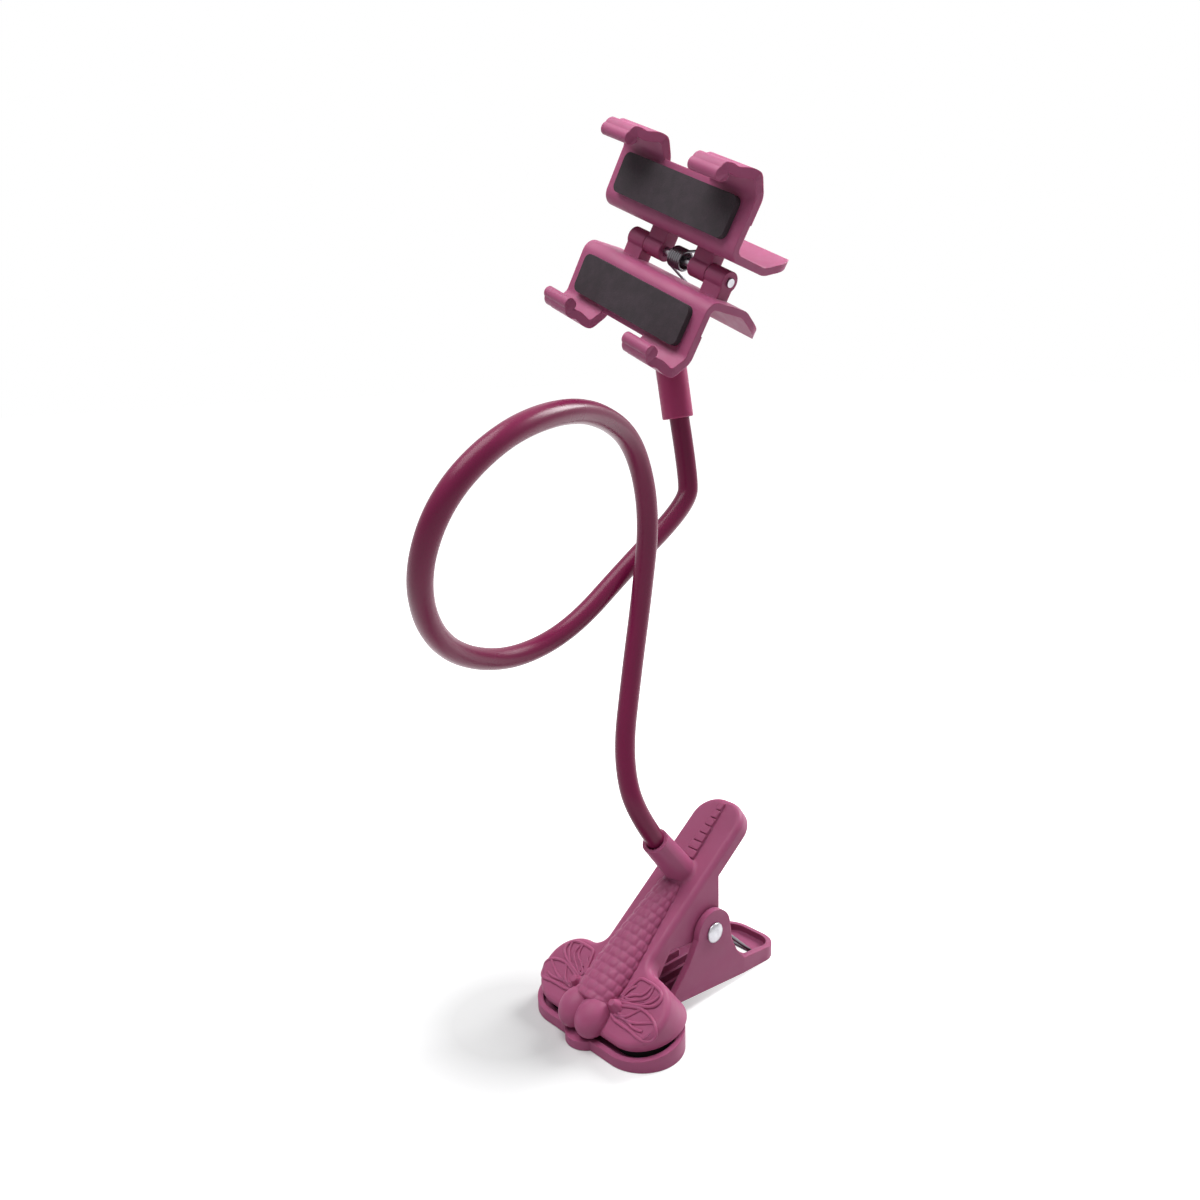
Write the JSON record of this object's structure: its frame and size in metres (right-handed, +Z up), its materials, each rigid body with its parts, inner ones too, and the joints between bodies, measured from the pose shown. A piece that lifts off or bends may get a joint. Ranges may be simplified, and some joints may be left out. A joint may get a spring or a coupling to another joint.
{
  "type": "phone gooseneck holder",
  "caption": "Clip-on phone holder: sprung jaw clip with a dragonfly relief, looped bendable arm, ball joint and a sprung cradle of hooked claws.",
  "frame": {"origin": "under the middle of the lower jaw's tray, on the plane that the holder stands on", "axes": "+Z up, +X across the clip to the right, -Y towards the front of the jaws"},
  "size_m": [0.1071, 0.1844, 0.3609],
  "materials": {
    "rose_plastic": "satin moulded plastic",
    "nut_plastic": "satin moulded plastic, darker",
    "wine_sleeve": "smooth soft sleeve with a low gloss",
    "grip_rubber": "matt black rubber",
    "soft_pad": "fine ribbed soft pad",
    "spring_steel": "drawn wire",
    "bright_steel": "domed and polished"
  },
  "bodies": {
    "clip_upper": {"upper_jaw": "rose_plastic", "upper_pad_left": "grip_rubber", "upper_pad_right": "grip_rubber", "clip_spring": "spring_steel"},
    "clip_lower": {"lower_jaw": "rose_plastic", "lower_pad_left": "grip_rubber", "lower_pad_right": "grip_rubber", "pivot_pin": "spring_steel", "rivet_cap_left": "bright_steel", "rivet_cap_right": "bright_steel"},
    "arm": {"gooseneck_sleeve": "wine_sleeve", "gooseneck_core": "spring_steel", "connector_sleeve": "nut_plastic", "ball_stud": "nut_plastic"},
    "nut": {"lock_nut": "nut_plastic"},
    "cradle_base": {"cradle_lower": "rose_plastic", "cradle_pin": "spring_steel", "grip_spring": "spring_steel", "back_pad_lower": "soft_pad"},
    "cradle_top": {"cradle_upper": "rose_plastic", "back_pad_upper": "soft_pad"}
  },
  "joints": [
    {"name": "clip_hinge", "type": "hinge", "parent": "clip_upper", "child": "clip_lower", "pos_m": [0, 0.0462, 0.0296], "axis": [1, 0, 0], "range_deg": [0, 32], "stiffness_Nm_per_rad": 0.6, "springref_deg": -34.38, "deforming": ["clip_spring"]},
    {"name": "neck_bend", "type": "hinge", "parent": "clip_upper", "child": "arm", "pos_m": [-0.0087, 0.0202, 0.1104], "axis": [1, 0, 0], "range_deg": [-20, 20], "deforming": ["gooseneck_sleeve", "gooseneck_core"]},
    {"name": "head_tilt", "type": "hinge", "parent": "arm", "child": "nut", "pos_m": [-0.0286, 0.0662, 0.2854], "axis": [0.0141, 0.999, 0.0425], "range_deg": [-64, 6]},
    {"name": "head_spin", "type": "hinge", "parent": "nut", "child": "cradle_base", "pos_m": [-0.0286, 0.0662, 0.2854], "axis": [0.3717, -0.0447, 0.9273], "continuous": true},
    {"name": "cradle_hinge", "type": "hinge", "parent": "cradle_base", "child": "cradle_top", "pos_m": [-0.02025, 0.06801, 0.30589], "axis": [0.9265, -0.0457, -0.3736], "range_deg": [-28, 38], "deforming": ["grip_spring"]}
  ]
}
